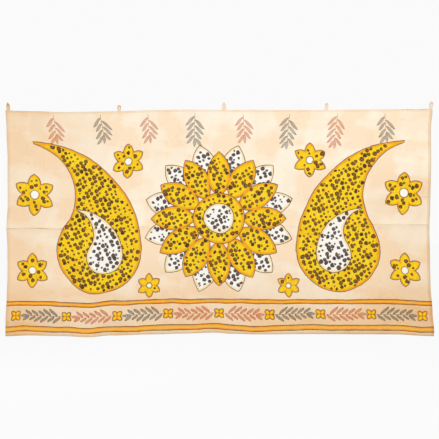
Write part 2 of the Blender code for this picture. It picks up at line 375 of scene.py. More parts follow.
class Recipe:
    """A node tree, with short ways to add the steps that work out a wash, a motif or a weave."""

    def __init__(self, tree):
        self.tree = tree

    def step(self, kind, feeds, output=0, **settings):
        """Add a node, feed its sockets and return one of its outputs."""
        node = self.tree.nodes.new("ShaderNode" + kind)
        for name, setting in settings.items():
            setattr(node, name, setting)
        for socket, feed in feeds.items():
            if isinstance(feed, bpy.types.NodeSocket):
                self.tree.links.new(feed, node.inputs[socket])
            else:
                node.inputs[socket].default_value = feed
        return node.outputs[output]

    def math(self, operation, *terms):
        return self.step("Math", dict(enumerate(terms)), operation=operation)

    def vector(self, operation, *terms):
        """Add a vector step; a length, distance or dot product gives a number."""
        output = 1 if operation in ("LENGTH", "DISTANCE", "DOT_PRODUCT") else 0
        return self.step("VectorMath", dict(enumerate(terms)), output, operation=operation)

    def join(self, x, y, z=0.0):
        return self.step("CombineXYZ", {0: x, 1: y, 2: z})

    def split(self, vector):
        node = self.tree.nodes.new("ShaderNodeSeparateXYZ")
        self.tree.links.new(vector, node.inputs[0])
        return node.outputs[0], node.outputs[1], node.outputs[2]

    def band(self, value, none, full):
        """Return how far a value has gone from none to full, eased, from 0 to 1."""
        feeds = {"Value": value, "From Min": none, "From Max": full}
        return self.step("MapRange", feeds, interpolation_type="SMOOTHSTEP")

    def mix(self, share, under, over, how="MIX"):
        return self.step("Mix", {0: share, 6: under, 7: over}, 2, data_type="RGBA", blend_type=how)

    def noise(self, place, scale, detail=2.0, output="Fac"):
        return self.step("TexNoise", {"Vector": place, "Scale": scale, "Detail": detail}, output)

    def use(self, group, **feeds):
        """Place a group, feed it, and return its outputs."""
        node = self.tree.nodes.new("ShaderNodeGroup")
        node.node_tree = group
        for name, feed in feeds.items():
            socket = node.inputs[name.replace("_", " ")]
            if isinstance(feed, bpy.types.NodeSocket):
                self.tree.links.new(feed, socket)
            else:
                socket.default_value = feed
        return node.outputs


def start_group(name, **inputs):
    """Start a node group with named inputs, and return its recipe and its input sockets."""
    tree = bpy.data.node_groups.new(name, "ShaderNodeTree")
    for input_name, kind in inputs.items():
        socket_name = input_name.replace("_", " ")
        tree.interface.new_socket(socket_name, in_out="INPUT", socket_type="NodeSocket" + kind)
    given = tree.nodes.new("NodeGroupInput").outputs
    return Recipe(tree), [given[number] for number in range(len(inputs))]


def end_group(recipe, **results):
    """Give a group its named outputs, and return it."""
    kinds = {"RGBA": "Color", "VALUE": "Float", "VECTOR": "Vector"}
    for name, socket in results.items():
        kind = "NodeSocket" + kinds[socket.type]
        recipe.tree.interface.new_socket(name.replace("_", " "), in_out="OUTPUT", socket_type=kind)
    ends = recipe.tree.nodes.new("NodeGroupOutput").inputs
    for number, socket in enumerate(results.values()):
        recipe.tree.links.new(socket, ends[number])
    return recipe.tree


def make_wobble():
    """Make the group that moves a place a little, as a hand strays from a drawn line."""
    wobble, (place, scale, reach) = start_group("hand_wobble", Place="Vector", Scale="Float", Reach="Float")
    stray = wobble.vector("SUBTRACT", wobble.noise(place, scale, 1.0, "Color"), (0.5, 0.5, 0.5))
    return end_group(wobble, Place=wobble.vector("MULTIPLY_ADD", stray, reach, place))


def make_weave():
    """Make the group of the plain weave: crossing threads, with thicker slubs both ways."""
    weave, (place, thread) = start_group("plain_weave", Place="Vector", Thread="Float")
    x, y, _ = weave.split(place)
    across = weave.math("SINE", weave.math("MULTIPLY", weave.math("DIVIDE", x, thread), math.pi))
    along = weave.math("SINE", weave.math("MULTIPLY", weave.math("DIVIDE", y, thread), math.pi))
    crossing = weave.math("MULTIPLY_ADD", weave.math("MULTIPLY", across, along), 0.5, 0.5)
    weft = weave.noise(weave.vector("MULTIPLY", place, (22.0, 420.0, 1.0)), 1.0, 2.0)
    warp = weave.noise(weave.vector("MULTIPLY", place, (420.0, 26.0, 1.0)), 1.0, 2.0)
    slub = weave.math("MULTIPLY", weave.math("ADD", weft, warp), 0.5)
    return end_group(weave, Crossing=crossing, Slub=slub)


# A teardrop with a bent tip is a round body of radius 1 and a horn between two arcs. The outer arc
# leaves the body at its left, and the inner arc leaves it at its upper right.
OUTER_ARC_RADIUS = 2.6
TIP = Vector((1.55, 2.55))
INNER_ARC_START = math.radians(35)


def make_teardrop():
    """Make the group of the distance to a teardrop's outline, below 0 inside it."""
    drop, (place, radius) = start_group("teardrop_distance", Place="Vector", Radius="Float")
    x, y, _ = drop.split(drop.vector("DIVIDE", place, radius))
    spot = drop.join(x, y)
    start = Vector((math.cos(INNER_ARC_START), math.sin(INNER_ARC_START)))
    reach = TIP.dot(start)
    inner_radius = (TIP.length_squared - 2.0 * reach + 1.0) / (2.0 * (reach - 1.0))
    inner_centre = start * (1.0 + inner_radius)
    chord = (TIP - start).normalized()
    across = Vector((chord.y, -chord.x))
    body = drop.math("SUBTRACT", drop.vector("LENGTH", spot), 1.0)
    outer = drop.vector("DISTANCE", spot, (OUTER_ARC_RADIUS - 1.0, 0.0, 0.0))
    outer = drop.math("SUBTRACT", outer, OUTER_ARC_RADIUS)
    inner = drop.math("SUBTRACT", inner_radius, drop.vector("DISTANCE", spot, (*inner_centre, 0.0)))
    right = drop.vector("DOT_PRODUCT", spot, (*across, 0.0))
    right = drop.math("SUBTRACT", right, start.dot(across))
    below = drop.math("MULTIPLY", y, -1.0)
    horn = drop.math("MAXIMUM", drop.math("MAXIMUM", outer, inner), drop.math("MAXIMUM", right, below))
    whole = drop.math("SMOOTH_MIN", body, horn, 0.1)
    return end_group(drop, Distance=drop.math("MULTIPLY", whole, radius))


def make_petals():
    """Make the group of the distance to a ring of pointed petals, below 0 inside them."""
    petals, (place, half_sector, turn, inner, outer, half_width) = start_group(
        "petal_distance",
        Place="Vector", Half_Sector="Float", Turn="Float", Inner="Float", Outer="Float", Half_Width="Float",
    )
    x, y, _ = petals.split(place)
    angle = petals.math("ADD", petals.math("ARCTAN2", y, x), turn)
    folded = petals.math("PINGPONG", angle, half_sector)
    reach = petals.vector("LENGTH", petals.join(x, y))
    along = petals.math("MULTIPLY", reach, petals.math("COSINE", folded))
    aside = petals.math("MULTIPLY", reach, petals.math("SINE", folded))
    middle = petals.math("MULTIPLY", petals.math("ADD", inner, outer), 0.5)
    half_length = petals.math("MULTIPLY", petals.math("SUBTRACT", outer, inner), 0.5)
    arc = petals.math("DIVIDE", petals.math("MULTIPLY", half_length, half_length), half_width)
    arc = petals.math("MULTIPLY", petals.math("ADD", arc, half_width), 0.5)
    centre = petals.join(middle, petals.math("SUBTRACT", half_width, arc))
    distance = petals.vector("DISTANCE", petals.join(along, aside), centre)
    return end_group(petals, Distance=petals.math("SUBTRACT", distance, arc))


DAB_ROW_SLANT = math.radians(27)


def make_dabs():
    """Make the group of brush dabs at an even pitch, with the rim and middle of the nearest one."""
    dabs, (place, pitch, size) = start_group("brush_dabs", Place="Vector", Pitch="Float", Size="Float")
    ragged = dabs.vector("SUBTRACT", dabs.noise(place, 62.0, 3.0, "Color"), (0.5, 0.5, 0.5))
    ragged = dabs.vector("MULTIPLY_ADD", ragged, (0.012, 0.012, 0.0), place)
    slanted = dabs.step("VectorRotate", {"Vector": ragged, "Angle": DAB_ROW_SLANT}, rotation_type="Z_AXIS")
    cells = dabs.tree.nodes.new("ShaderNodeTexVoronoi")
    cells.voronoi_dimensions = "2D"
    cells.inputs["Randomness"].default_value = 0.6
    dabs.tree.links.new(slanted, cells.inputs["Vector"])
    dabs.tree.links.new(dabs.math("DIVIDE", 1.0, pitch), cells.inputs["Scale"])
    chance, other_chance, _ = dabs.split(cells.outputs["Color"])
    wanted = dabs.math("MULTIPLY", size, dabs.math("MULTIPLY_ADD", chance, 0.7, 0.5))
    edge = dabs.math("SUBTRACT", wanted, 0.06)
    mask = dabs.band(cells.outputs["Distance"], wanted, edge)
    rim = dabs.band(dabs.math("DIVIDE", cells.outputs["Distance"], wanted), 0.25, 0.8)
    middle = dabs.step(
        "VectorRotate", {"Vector": cells.outputs["Position"], "Angle": -DAB_ROW_SLANT}, rotation_type="Z_AXIS"
    )
    return end_group(dabs, Mask=mask, Rim=rim, Middle=middle, Chance=other_chance)


LEAF_PITCH = 0.031
LEAF_SLOPE = 1.05
LEAF_THICKNESS = 0.0078
END_LEAF_LENGTH = 0.050
STEM_THICKNESS = 0.0016


def make_spray():
    """Make the group of a leafy spray that grows up from the origin, as its cover of paint."""
    spray, (place, height, half_width) = start_group(
        "spray_cover", Place="Vector", Height="Float", Half_Width="Float"
    )
    x, y, _ = spray.split(place)
    away = spray.math("ABSOLUTE", x)
    side = spray.math("MULTIPLY", spray.math("GREATER_THAN", x, 0.0), 0.5)
    count = spray.math("DIVIDE", spray.math("MULTIPLY_ADD", away, -LEAF_SLOPE, y), LEAF_PITCH)
    count = spray.math("ADD", count, side)
    leaf = spray.math("FLOOR", count)
    gap = spray.math("ABSOLUTE", spray.math("SUBTRACT", spray.math("FRACT", count), 0.5))
    gap = spray.math("MULTIPLY", gap, LEAF_PITCH / math.sqrt(1.0 + LEAF_SLOPE**2))
    root = spray.math("SUBTRACT", spray.math("ADD", leaf, 0.5), side)
    root = spray.math("DIVIDE", spray.math("MULTIPLY", root, LEAF_PITCH), height)
    uneven = spray.step("TexWhiteNoise", {"W": spray.math("ADD", leaf, side)}, noise_dimensions="1D")
    long = spray.math("MULTIPLY", half_width, spray.math("MULTIPLY_ADD", uneven, 0.25, 0.8))
    long = spray.math("MULTIPLY", long, spray.math("MULTIPLY_ADD", root, -0.35, 1.0))
    share = spray.math("DIVIDE", away, long)
    swell = spray.math("MULTIPLY", share, spray.math("SUBTRACT", 1.0, share))
    inside = spray.math("SUBTRACT", spray.math("MULTIPLY", swell, 4.0 * LEAF_THICKNESS), gap)
    grown = spray.math("MULTIPLY", spray.math("GREATER_THAN", root, 0.02), spray.math("LESS_THAN", root, 0.8))
    inside = spray.math("SUBTRACT", inside, spray.math("SUBTRACT", 1.0, grown))
    end = spray.math("SUBTRACT", y, spray.math("SUBTRACT", height, END_LEAF_LENGTH / 2))
    end = spray.math("DIVIDE", end, END_LEAF_LENGTH / 2)
    end = spray.math("MULTIPLY_ADD", spray.math("MULTIPLY", end, end), -LEAF_THICKNESS, LEAF_THICKNESS)
    inside = spray.math("MAXIMUM", inside, spray.math("SUBTRACT", end, away))
    leaves = spray.band(inside, -0.0005, 0.0005)
    rim = spray.band(inside, 0.0034, 0.0014)
    vein = spray.band(gap, 0.0013, 0.0005)
    leaves = spray.math("MULTIPLY", leaves, spray.math("MULTIPLY_ADD", spray.math("MAXIMUM", rim, vein), 0.38, 0.6))
    stem = spray.band(away, STEM_THICKNESS, STEM_THICKNESS / 2)
    grown = spray.math("MULTIPLY", spray.math("GREATER_THAN", y, 0.0), spray.math("LESS_THAN", root, 0.85))
    stem = spray.math("MULTIPLY", stem, spray.math("MULTIPLY", grown, 0.9))
    return end_group(spray, Cover=spray.math("MAXIMUM", leaves, stem))


SPRAY_SPACING = CLOTH_WIDTH / 9
SPRAY_HEIGHT = 0.165
SPRAY_HALF_WIDTH = 0.050
SPRAY_DROP = 0.018


def make_hanging_sprays():
    """Make the group of the sprays that hang from the top hem, each with its own lean and length."""
    row, (under, place, strength) = start_group(
        "hanging_sprays", Under="Color", Place="Vector", Strength="Float"
    )
    x, drop, _ = row.split(place)
    below = row.math("SUBTRACT", drop, SPRAY_DROP)
    count = row.math("ADD", row.math("DIVIDE", x, SPRAY_SPACING), 0.5)
    cell = row.math("ROUND", count)
    local_x = row.math("MULTIPLY", row.math("SUBTRACT", count, cell), SPRAY_SPACING)
    chance = row.step("TexWhiteNoise", {"W": cell}, noise_dimensions="1D")
    local_x = row.math("MULTIPLY_ADD", below, row.math("MULTIPLY_ADD", chance, 0.26, -0.13), local_x)
    tall = row.math("MULTIPLY", SPRAY_HEIGHT, row.math("MULTIPLY_ADD", chance, 0.26, 0.87))
    cover = row.use(spray_cover, Place=row.join(local_x, below), Height=tall, Half_Width=SPRAY_HALF_WIDTH)[0]
    middle = row.math("MULTIPLY", row.math("SUBTRACT", cell, 0.5), SPRAY_SPACING)
    whole = row.math("LESS_THAN", row.math("ABSOLUTE", middle), CLOTH_WIDTH / 2 - SPRAY_HALF_WIDTH)
    cover = row.math("MULTIPLY", cover, row.math("MULTIPLY", strength, whole))
    odd = row.math("PINGPONG", cell, 1.0)
    return end_group(row, Colour=row.mix(cover, under, row.mix(odd, GREY_TWIG, RUST_TWIG)))


def make_motif():
    """Make the group of a painted shape over a ground: fill, shaded edge, dabs and outline."""
    motif, inputs = start_group(
        "painted_motif",
        Under="Color", Cover="Float", Distance="Float", Fill="Color",
        Edge="Color", Edge_Reach="Float", Edge_Share="Float",
        Dab="Float", Dab_Colour="Color", Dab_Distance="Float", Grain="Float",
    )
    under, cover, distance, fill, edge, edge_reach, edge_share, dab, dab_colour, dab_distance, grain = inputs
    dab_room = 0.0115
    inside = motif.band(distance, 0.0006, -0.0006)
    depth = motif.math("DIVIDE", distance, edge_reach)
    depth = motif.math("MULTIPLY_ADD", motif.math("SUBTRACT", grain, 0.5), 0.6, depth)
    near_edge = motif.band(depth, -1.0, -0.55)
    near_edge = motif.math("MULTIPLY", near_edge, edge_share)
    colour = motif.mix(near_edge, fill, edge)
    kept = motif.math("MULTIPLY", dab, motif.math("LESS_THAN", dab_distance, -dab_room))
    kept = motif.math("MULTIPLY", kept, motif.math("MULTIPLY_ADD", grain, 0.1, 0.91))
    colour = motif.mix(inside, under, motif.mix(kept, colour, dab_colour))
    thick = motif.math("MULTIPLY_ADD", grain, 0.0022, 0.0007)
    line = motif.math("SUBTRACT", thick, motif.math("ABSOLUTE", distance))
    line = motif.math("MULTIPLY", motif.band(line, -0.0005, 0.0005), 0.88)
    cover = motif.math("MAXIMUM", motif.math("MAXIMUM", cover, inside), line)
    return end_group(motif, Colour=motif.mix(line, colour, OUTLINE_BROWN), Cover=cover)


GARLAND_SPACING = (CLOTH_WIDTH / 2 - 0.05) / 4
GARLAND_RISE = 0.100
GARLAND_HALF_WIDTH = 0.040
GARLAND_BUD = 0.030
Stripe = namedtuple("Stripe", "rise half_width")
BORDER_STRIPES = (
    Stripe(rise=0.032, half_width=0.013),
    Stripe(rise=0.162, half_width=0.010),
)


def make_border():
    """Make the group of the foot border: a garland of sprays and buds between two stripes."""
    border, (under, place, grain, strength) = start_group(
        "garland_border", Under="Color", Place="Vector", Grain="Float", Strength="Float"
    )
    x, rise, _ = border.split(place)
    half_x = border.math("ABSOLUTE", x)
    above = border.math("SUBTRACT", rise, GARLAND_RISE)
    count = border.math("DIVIDE", half_x, GARLAND_SPACING)
    cell = border.math("FLOOR", count)
    along = border.math("MULTIPLY", border.math("FRACT", count), GARLAND_SPACING)
    along = border.math("SUBTRACT", along, GARLAND_BUD * 0.5)
    cover = border.use(
        spray_cover, Place=border.join(above, along),
        Height=GARLAND_SPACING - GARLAND_BUD * 1.2, Half_Width=GARLAND_HALF_WIDTH,
    )[0]
    cover = border.math("MULTIPLY", cover, border.math("MULTIPLY", strength, border.math("LESS_THAN", cell, 3.5)))
    odd = border.math("PINGPONG", cell, 1.0)
    colour = border.mix(cover, under, border.mix(odd, RUST_TWIG, GREY_TWIG))
    aside = border.math("SUBTRACT", count, border.math("ROUND", count))
    bud = border.use(
        petal_distance, Place=border.join(border.math("MULTIPLY", aside, GARLAND_SPACING), above),
        Half_Sector=math.pi / 4, Turn=math.pi / 4, Inner=0.0, Outer=GARLAND_BUD, Half_Width=GARLAND_BUD * 0.36,
    )[0]
    colour = border.use(
        painted_motif, Under=colour, Distance=bud, Fill=GOLD_PAINT, Grain=grain,
        Edge=ORANGE_PAINT, Edge_Reach=0.008, Edge_Share=0.8,
    )[0]
    for stripe in BORDER_STRIPES:
        away = border.math("ABSOLUTE", border.math("SUBTRACT", rise, stripe.rise))
        colour = border.use(
            painted_motif, Under=colour, Distance=border.math("SUBTRACT", away, stripe.half_width),
            Fill=LIGHT_ORANGE, Edge=ORANGE_PAINT, Edge_Reach=0.009, Edge_Share=0.95, Grain=grain,
        )[0]
    return end_group(border, Colour=colour)


hand_wobble = make_wobble()
plain_weave = make_weave()
teardrop_distance = make_teardrop()
petal_distance = make_petals()
brush_dabs = make_dabs()
spray_cover = make_spray()
hanging_sprays = make_hanging_sprays()
painted_motif = make_motif()
garland_border = make_border()

# The layout of the paint: each motif's place is measured from the top edge's middle, and the left
# half mirrors the right one by hand, so never quite.
MEDALLION_DROP = 0.545
TEARDROP_X = 0.60
TEARDROP_DROP = 0.70
TEARDROP_RADIUS = 0.21
Petals = namedtuple("Petals", "turn inner outer half_width golden")
MEDALLION_PETALS = (
    Petals(turn=math.pi / 12, inner=0.15, outer=0.380, half_width=0.060, golden=False),
    Petals(turn=0.0, inner=0.11, outer=0.338, half_width=0.058, golden=True),
)
Blossom = namedtuple("Blossom", "x drop radius")
BLOSSOMS = (
    Blossom(x=0.925, drop=0.42, radius=0.105),
    Blossom(x=0.935, drop=0.80, radius=0.085),
    Blossom(x=0.455, drop=0.25, radius=0.085),
    Blossom(x=0.350, drop=0.878, radius=0.060),
)


def make_design():
    """Make the group of the whole painted face, from the flat cloth's own places in metres."""
    art, (flat,) = start_group("painted_design", Place="Vector")
    x, drop, _ = art.split(flat)
    drawn = art.use(hand_wobble, Place=art.join(x, drop), Scale=5.0, Reach=0.018)[0]
    drawn = art.use(hand_wobble, Place=drawn, Scale=36.0, Reach=0.0035)[0]
    x, drop, _ = art.split(drawn)
    half_x = art.math("ABSOLUTE", x)
    grain = art.noise(drawn, 26.0, 3.0)
    soft_grain = art.noise(drawn, 4.2, 2.0)

    slant = art.join(art.math("MULTIPLY_ADD", drop, 0.35, x), art.math("MULTIPLY_ADD", x, -0.2, drop))
    strokes = art.noise(art.vector("MULTIPLY", slant, (7.0, 2.2, 1.0)), 1.0, 3.0)
    sweeps = art.noise(art.vector("MULTIPLY", slant, (2.0, 9.0, 1.0)), 1.0, 3.0)
    washed = art.math("MULTIPLY_ADD", art.math("SUBTRACT", sweeps, strokes), 0.8, soft_grain)
    ground = art.mix(art.band(washed, 0.36, 0.64), CREAM_COTTON, PEACH_WASH)
    tide = art.math("ABSOLUTE", art.math("SUBTRACT", washed, 0.56))
    tide = art.math("MULTIPLY", art.band(tide, 0.018, 0.0), 0.11)
    foot_share = art.math("MULTIPLY_ADD", art.band(half_x, 0.60, 1.02), 0.28, 0.54)
    foot = art.math("MULTIPLY", art.band(drop, 0.66, 1.10), foot_share)
    left = art.math("MULTIPLY", art.band(x, -0.35, -1.06), 0.32)
    right = art.math("MULTIPLY", art.band(x, 0.50, 0.95), art.band(drop, 0.20, 0.45))
    sides = art.math("MAXIMUM", left, art.math("MULTIPLY", right, 0.27))
    left_corner = art.math("MULTIPLY", art.band(x, -0.6, -1.04), art.band(drop, 0.2, 0.02))
    tan = art.math("MULTIPLY_ADD", left_corner, 0.18, art.math("MAXIMUM", foot, sides))
    right_corner = art.math("MULTIPLY", art.band(x, 0.84, 1.04), art.band(drop, 0.20, 0.03))
    tan = art.math("MULTIPLY_ADD", right_corner, 0.22, tan)
    pooled = art.math("MULTIPLY", art.band(strokes, 0.50, 0.66), 0.12)
    uneven = art.math("MULTIPLY_ADD", sweeps, 0.9, 0.5)
    tan = art.math("ADD", art.math("MULTIPLY_ADD", tan, uneven, pooled), tide)
    ground = art.mix(tan, ground, TAN_WASH)

    rise = art.math("SUBTRACT", CLOTH_DROP, drop)
    strength = art.math("MULTIPLY_ADD", grain, 0.5, 0.72)
    ground = art.use(
        garland_border, Under=ground, Place=art.join(x, rise), Grain=grain, Strength=strength
    )[0]
    thinned = art.math("MULTIPLY", strength, 0.82)
    ground = art.use(hanging_sprays, Under=ground, Place=art.join(x, drop), Strength=thinned)[0]

    gold = art.mix(art.band(art.noise(drawn, 9.0, 3.0), 0.38, 0.68), GOLD_PAINT, DEEP_GOLD_PAINT)
    bristles = art.noise(art.vector("MULTIPLY", slant, (110.0, 22.0, 1.0)), 1.0, 3.0)
    bristles = art.math("MULTIPLY", art.band(bristles, 0.46, 0.66), 0.7)
    gold = art.mix(bristles, gold, PALE_GOLD_PAINT)
    dabs = art.use(brush_dabs, Place=drawn, Pitch=0.0232, Size=0.44)
    dried = art.math("MAXIMUM", dabs["Rim"], art.band(dabs["Chance"], 0.30, 0.15))
    brown_dab = art.mix(dried, BROWN_DAB, DARK_DAB)
    grey_dab = art.mix(dried, GREY_DAB, DARK_DAB)
    dab_x, dab_drop, _ = art.split(dabs["Middle"])
    half_dab_x = art.math("ABSOLUTE", dab_x)

    def seen_from(across, down, origin_x, origin_drop):
        """Return a place as seen from a motif's middle, with up towards the top edge."""
        return art.join(art.math("SUBTRACT", across, origin_x), art.math("SUBTRACT", origin_drop, down))

    def paint(under, distance, dab_distance, golden, edge_reach=0.015):
        """Paint one shape, in gold edged with orange or in white edged with gold."""
        fill, edge = (gold, ORANGE_PAINT) if golden else (WHITE_PAINT, DEEP_GOLD_PAINT)
        return art.use(
            painted_motif, Under=under[0], Cover=under[1], Distance=distance, Fill=fill,
            Edge=edge, Edge_Reach=edge_reach, Edge_Share=0.7 if golden else 0.45,
            Dab=dabs["Mask"], Dab_Colour=brown_dab if golden else grey_dab,
            Dab_Distance=dab_distance, Grain=grain,
        )

    painted = (ground, 0.0)
    for size, inset, golden in ((1.0, 0.0, True), (0.43, 0.12, False)):
        middle_x = TEARDROP_X - inset * TEARDROP_RADIUS
        middle_drop = TEARDROP_DROP + inset * TEARDROP_RADIUS
        here = seen_from(half_x, drop, middle_x, middle_drop)
        there = seen_from(half_dab_x, dab_drop, middle_x, middle_drop)
        outline = art.use(teardrop_distance, Place=here, Radius=TEARDROP_RADIUS * size)[0]
        room = art.use(teardrop_distance, Place=there, Radius=TEARDROP_RADIUS * size)[0]
        painted = paint(painted, outline, room, golden)

    here = seen_from(x, drop, 0.0, MEDALLION_DROP)
    there = seen_from(dab_x, dab_drop, 0.0, MEDALLION_DROP)
    for petals in MEDALLION_PETALS:
        sizes = {"Half_Sector": math.pi / 12, "Turn": petals.turn, "Half_Width": petals.half_width}
        sizes.update({"Inner": petals.inner, "Outer": petals.outer})
        outline = art.use(petal_distance, Place=here, **sizes)[0]
        room = art.use(petal_distance, Place=there, **sizes)[0]
        painted = paint(painted, outline, room, petals.golden)
    for radius, golden in ((0.128, True), (0.078, False)):
        outline = art.math("SUBTRACT", art.vector("LENGTH", here), radius)
        room = art.math("SUBTRACT", art.vector("LENGTH", there), radius)
        painted = paint(painted, outline, room, golden)
    for blossom in BLOSSOMS:
        here = seen_from(half_x, drop, blossom.x, blossom.drop)
        there = seen_from(half_dab_x, dab_drop, blossom.x, blossom.drop)
        sizes = {"Half_Sector": math.pi / 6, "Turn": math.pi / 6, "Half_Width": blossom.radius * 0.3}
        sizes.update({"Inner": 0.0, "Outer": blossom.radius})
        outline = art.use(petal_distance, Place=here, **sizes)[0]
        room = art.use(petal_distance, Place=there, **sizes)[0]
        heart = blossom.radius * 0.22
        room = art.math("MAXIMUM", room, art.math("SUBTRACT", heart, art.vector("LENGTH", there)))
        painted = paint(painted, outline, room, golden=True, edge_reach=0.009)
        outline = art.math("SUBTRACT", art.vector("LENGTH", here), heart)
        painted = paint(painted, outline, 1.0, golden=False, edge_reach=0.006)
    return end_group(art, Colour=painted[0], Cover=painted[1])


painted_design = make_design()


# What storage and handling have left in the cotton, and painted shade: soft brown lines of soil and
# painted shade where it was pressed and creased, painted shade on every hem, a painted shadow along
# the top edge that is darkest near the right corner, and a few specks.
# Lines of painted shade and soil along the pressed fold and the creases: each runs from a start to an end, with its
# strength.
ShadedSoiledLine = namedtuple("ShadedSoiledLine", "x_from drop_from x_to drop_to strength")
SHADED_SOILED_LINES = (
    ShadedSoiledLine(x_from=-1.08, drop_from=0.588, x_to=-0.20, drop_to=0.582, strength=0.95),
    ShadedSoiledLine(x_from=1.08, drop_from=0.572, x_to=0.55, drop_to=0.576, strength=0.44),
    ShadedSoiledLine(x_from=1.08, drop_from=0.434, x_to=0.82, drop_to=0.437, strength=0.40),
    ShadedSoiledLine(x_from=-0.877, drop_from=0.14, x_to=-0.875, drop_to=0.46, strength=0.12),
    ShadedSoiledLine(x_from=-1.05, drop_from=0.625, x_to=-0.80, drop_to=0.670, strength=0.10),
    ShadedSoiledLine(x_from=-0.76, drop_from=0.735, x_to=-0.48, drop_to=0.762, strength=0.12),
)
SHADED_SOILED_LINE_REACH = 0.004
SPECK_SPACING = 0.16


def make_shaded_soiled_line():
    """Make the group of a line of painted shade and soil, strong at its start and gone at its end."""
    line, (place, start, run) = start_group("shaded_soiled_line", Place="Vector", Start="Vector", Run="Vector")
    offset = line.vector("SUBTRACT", place, start)
    length = line.vector("LENGTH", run)
    along = line.math("DIVIDE", line.vector("DOT_PRODUCT", offset, run), line.math("MULTIPLY", length, length))
    nearest = line.vector("MULTIPLY", run, line.join(along, along, along))
    away = line.vector("DISTANCE", offset, nearest)
    shown = line.math("MULTIPLY", line.band(along, 0.0, 0.02), line.band(along, 1.0, 0.35))
    return end_group(line, Mask=line.math("MULTIPLY", line.band(away, SHADED_SOILED_LINE_REACH, 0.0), shown))


def make_soil_and_shade():
    """Make the group of the cloth's soil and its painted shade, from its own places in metres."""
    soil, (flat,) = start_group("cotton_soil_and_shade", Place="Vector")
    x, drop, _ = soil.split(flat)
    place = soil.use(hand_wobble, Place=soil.join(x, drop), Scale=14.0, Reach=0.006)[0]
    broken = soil.band(soil.noise(place, 13.0, 2.0), 0.36, 0.62)
    broken = soil.math("MULTIPLY_ADD", broken, 0.75, 0.4)
    mask = 0.0
    # Painted shade and soil along the pressed fold and the creases, broken in patches.
    for line in SHADED_SOILED_LINES:
        worn = soil.use(
            shaded_soiled_line, Place=place, Start=(line.x_from, line.drop_from, 0.0),
            Run=(line.x_to - line.x_from, line.drop_to - line.drop_from, 0.0),
        )[0]
        worn = soil.math("MULTIPLY", worn, soil.math("MULTIPLY", broken, line.strength))
        mask = soil.math("MAXIMUM", mask, worn)
    side = soil.math("SUBTRACT", CLOTH_WIDTH / 2, soil.math("ABSOLUTE", x))
    foot = soil.math("SUBTRACT", CLOTH_DROP, drop)
    softness = 0.001
    # Painted shade: the double cloth of every hem is darkened, the right side hem most.
    side_share = soil.math("MULTIPLY_ADD", soil.math("GREATER_THAN", x, 0.0), 0.20, 0.12)
    side_hem = soil.math("MULTIPLY", soil.band(side, SIDE_HEM + softness, SIDE_HEM), side_share)
    top_hem = soil.math("MULTIPLY", soil.band(drop, TOP_HEM + softness, TOP_HEM), 0.14)
    foot_hem = soil.math("MULTIPLY", soil.band(foot, BOTTOM_HEM + softness, BOTTOM_HEM), 0.12)
    hem_shade = soil.math("MAXIMUM", side_hem, soil.math("MAXIMUM", top_hem, foot_hem))
    # Painted shadow: a dark line along the top edge, in patches and darkest near the right corner.
    near = soil.math("MULTIPLY", soil.band(x, 0.84, 0.96), soil.band(x, 1.05, 1.02))
    patches = soil.band(soil.noise(soil.join(x, 0.0), 22.0, 1.0), 0.44, 0.56)
    top_edge_shadow = soil.math("MULTIPLY_ADD", soil.math("MULTIPLY", near, patches), 0.9, 0.14)
    top_edge = soil.math("MULTIPLY", soil.band(drop, 0.004, 0.002), top_edge_shadow)
    mask = soil.math("MAXIMUM", mask, soil.math("MAXIMUM", hem_shade, top_edge))
    specks = soil.tree.nodes.new("ShaderNodeTexVoronoi")
    specks.voronoi_dimensions = "2D"
    specks.inputs["Scale"].default_value = 1.0 / SPECK_SPACING
    soil.tree.links.new(place, specks.inputs["Vector"])
    chance, size, _ = soil.split(specks.outputs["Color"])
    wanted = soil.math("MULTIPLY_ADD", size, 0.008, 0.006)
    speck = soil.band(specks.outputs["Distance"], wanted, soil.math("MULTIPLY", wanted, 0.5))
    speck = soil.math("MULTIPLY", speck, soil.math("MULTIPLY", soil.math("GREATER_THAN", chance, 0.72), 0.8))
    return end_group(soil, Mask=soil.math("MAXIMUM", mask, speck))


shaded_soiled_line = make_shaded_soiled_line()
cotton_soil_and_shade = make_soil_and_shade()


def add_cotton(name, soaked_through):
    """Return the painted cotton of one side; soaked_through is how much of the paint it shows."""
    material = bpy.data.materials.new(name)
    material.use_nodes = True
    shader = material.node_tree.nodes["Principled BSDF"]
    cotton = Recipe(material.node_tree)
    flat = cotton.step("Attribute", {}, "Vector", attribute_name="flat_place")
    design = cotton.use(painted_design, Place=flat)
    colour = cotton.mix(soaked_through, CREAM_COTTON, design["Colour"])
    weave = cotton.use(plain_weave, Place=flat, Thread=0.0009)
    thread_shade = cotton.band(weave["Slub"], 0.62, 0.30)
    colour = cotton.mix(cotton.math("MULTIPLY", thread_shade, 0.08), colour, SOIL_AND_SHADE_TINT, "MULTIPLY")
    # The soil mask darkens the cloth with real specks and soil, and with painted shade along the creases, on every
    # hem and a painted shadow along the top edge.
    soil = cotton.use(cotton_soil_and_shade, Place=flat)[0]
    colour = cotton.mix(soil, colour, SOIL_AND_SHADE_TINT, "MULTIPLY")
    material.node_tree.links.new(colour, shader.inputs["Base Color"])
    roughness = cotton.math("MULTIPLY_ADD", design["Cover"], -0.10 * soaked_through, 0.94)
    material.node_tree.links.new(roughness, shader.inputs["Roughness"])
    height = cotton.math("MULTIPLY_ADD", weave["Slub"], 0.9, cotton.math("MULTIPLY", weave["Crossing"], 0.25))
    bump = cotton.step("Bump", {"Height": height, "Strength": 0.35, "Distance": 0.0006})
    material.node_tree.links.new(bump, shader.inputs["Normal"])
    shader.inputs["Specular IOR Level"].default_value = 0.25
    return material


cloth_mesh.materials.append(add_cotton("painted_face", soaked_through=1.0))
cloth_mesh.materials.append(add_cotton("painted_back", soaked_through=0.28))
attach(cloth, "root")
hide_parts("cloth")

